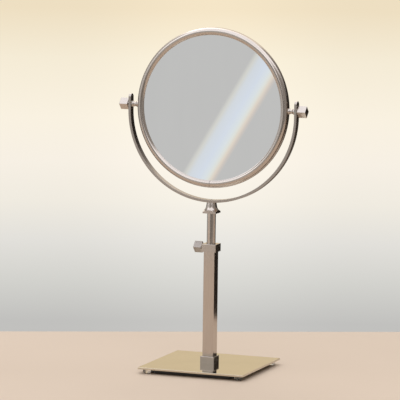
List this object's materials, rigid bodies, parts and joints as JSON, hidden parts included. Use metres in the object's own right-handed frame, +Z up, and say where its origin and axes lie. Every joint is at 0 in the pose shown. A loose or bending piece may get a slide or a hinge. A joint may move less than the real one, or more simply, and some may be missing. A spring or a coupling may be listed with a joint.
{
  "type": "extendable shaving mirror",
  "caption": "Round two-sided tilting mirror in a U-shaped yoke, on a round rod that slides, turns and clamps in a square column on a square base.",
  "frame": {"origin": "on the column's axis, on the surface that the feet stand on", "axes": "+Z up along the column; the mirror faces -Y; its pivots lie along X, with the clamp knob on -X"},
  "size_m": [0.2244, 0.127, 0.3911],
  "materials": {
    "satin_nickel": "satin brushed nickel, warm grey",
    "polished_nickel": "polished, warm champagne tint",
    "black_steel": "satin black paint",
    "zinc_steel": "bright zinc",
    "nylon": "natural nylon",
    "black_plastic": "matt",
    "silvered_glass": "silvered back, polished front",
    "clear_bumper": "soft, translucent, pale"
  },
  "bodies": {
    "stand": {"base_plate": "polished_nickel", "base_weight": "black_steel", "base_screw": "zinc_steel", "locating_pins": "zinc_steel", "foot_front_left": "clear_bumper", "foot_front_right": "clear_bumper", "foot_back_left": "clear_bumper", "foot_back_right": "clear_bumper", "base_socket": "satin_nickel", "column_tube": "satin_nickel", "column_plug": "zinc_steel", "guide_bush": "nylon", "clamp_collar": "satin_nickel"},
    "clamp_pad": {"clamp_pad": "nylon"},
    "clamp_knob": {"clamp_knob": "satin_nickel", "clamp_screw": "zinc_steel"},
    "slider": {"guide_slider": "nylon"},
    "mast": {"mast_rod": "satin_nickel", "slider_washer": "zinc_steel", "slider_screw": "zinc_steel", "flared_cap": "satin_nickel", "yoke": "satin_nickel", "yoke_screw": "zinc_steel", "left_pivot_bush": "nylon", "right_pivot_bush": "nylon"},
    "mirror_head": {"mirror_rim": "satin_nickel", "rim_joiner": "zinc_steel", "front_glass": "silvered_glass", "magnifying_glass": "silvered_glass", "glass_spacer": "black_plastic", "left_pivot_spool": "satin_nickel", "left_pivot_stud": "zinc_steel", "left_stud_nut": "zinc_steel", "left_friction_washer": "nylon", "right_pivot_spool": "satin_nickel", "right_pivot_stud": "zinc_steel", "right_stud_nut": "zinc_steel", "right_friction_washer": "nylon"},
    "left_washer": {"left_knob_washer": "satin_nickel"},
    "left_knob": {"left_pivot_knob": "satin_nickel"},
    "right_washer": {"right_knob_washer": "satin_nickel"},
    "right_knob": {"right_pivot_knob": "satin_nickel"}
  },
  "joints": [
    {"name": "column_slide", "type": "slide", "parent": "stand", "child": "slider", "axis": [0, 0, 1], "range_m": [-0.0324, 0.06]},
    {"name": "mast_turn", "type": "hinge", "parent": "slider", "child": "mast", "pos_m": [0, 0, 0.0621], "axis": [0, 0, 1], "continuous": true},
    {"name": "mirror_tilt", "type": "hinge", "parent": "mast", "child": "mirror_head", "pos_m": [0, 0, 0.3], "axis": [1, 0, 0], "continuous": true},
    {"name": "clamp_travel", "type": "slide", "parent": "stand", "child": "clamp_pad", "axis": [-1, 0, 0], "range_m": [0, 0.0007]},
    {"name": "clamp_turn", "type": "hinge", "parent": "clamp_pad", "child": "clamp_knob", "pos_m": [-0.0148, 0, 0.1402], "axis": [-1, 0, 0], "range_deg": [0, 360]},
    {"name": "left_knob_travel", "type": "slide", "parent": "mirror_head", "child": "left_washer", "axis": [-1, 0, 0], "range_m": [0, 0.00035]},
    {"name": "left_knob_turn", "type": "hinge", "parent": "left_washer", "child": "left_knob", "pos_m": [-0.1073, 0, 0.3], "axis": [-1, 0, 0], "range_deg": [0, 180]},
    {"name": "right_knob_travel", "type": "slide", "parent": "mirror_head", "child": "right_washer", "axis": [1, 0, 0], "range_m": [0, 0.00035]},
    {"name": "right_knob_turn", "type": "hinge", "parent": "right_washer", "child": "right_knob", "pos_m": [0.1073, 0, 0.3], "axis": [1, 0, 0], "range_deg": [0, 180]}
  ],
  "couplings": [
    {"joint": "clamp_turn", "follows": "clamp_travel", "rad_per_m": 8976},
    {"joint": "left_knob_turn", "follows": "left_knob_travel", "rad_per_m": 8976},
    {"joint": "right_knob_turn", "follows": "right_knob_travel", "rad_per_m": 8976}
  ]
}
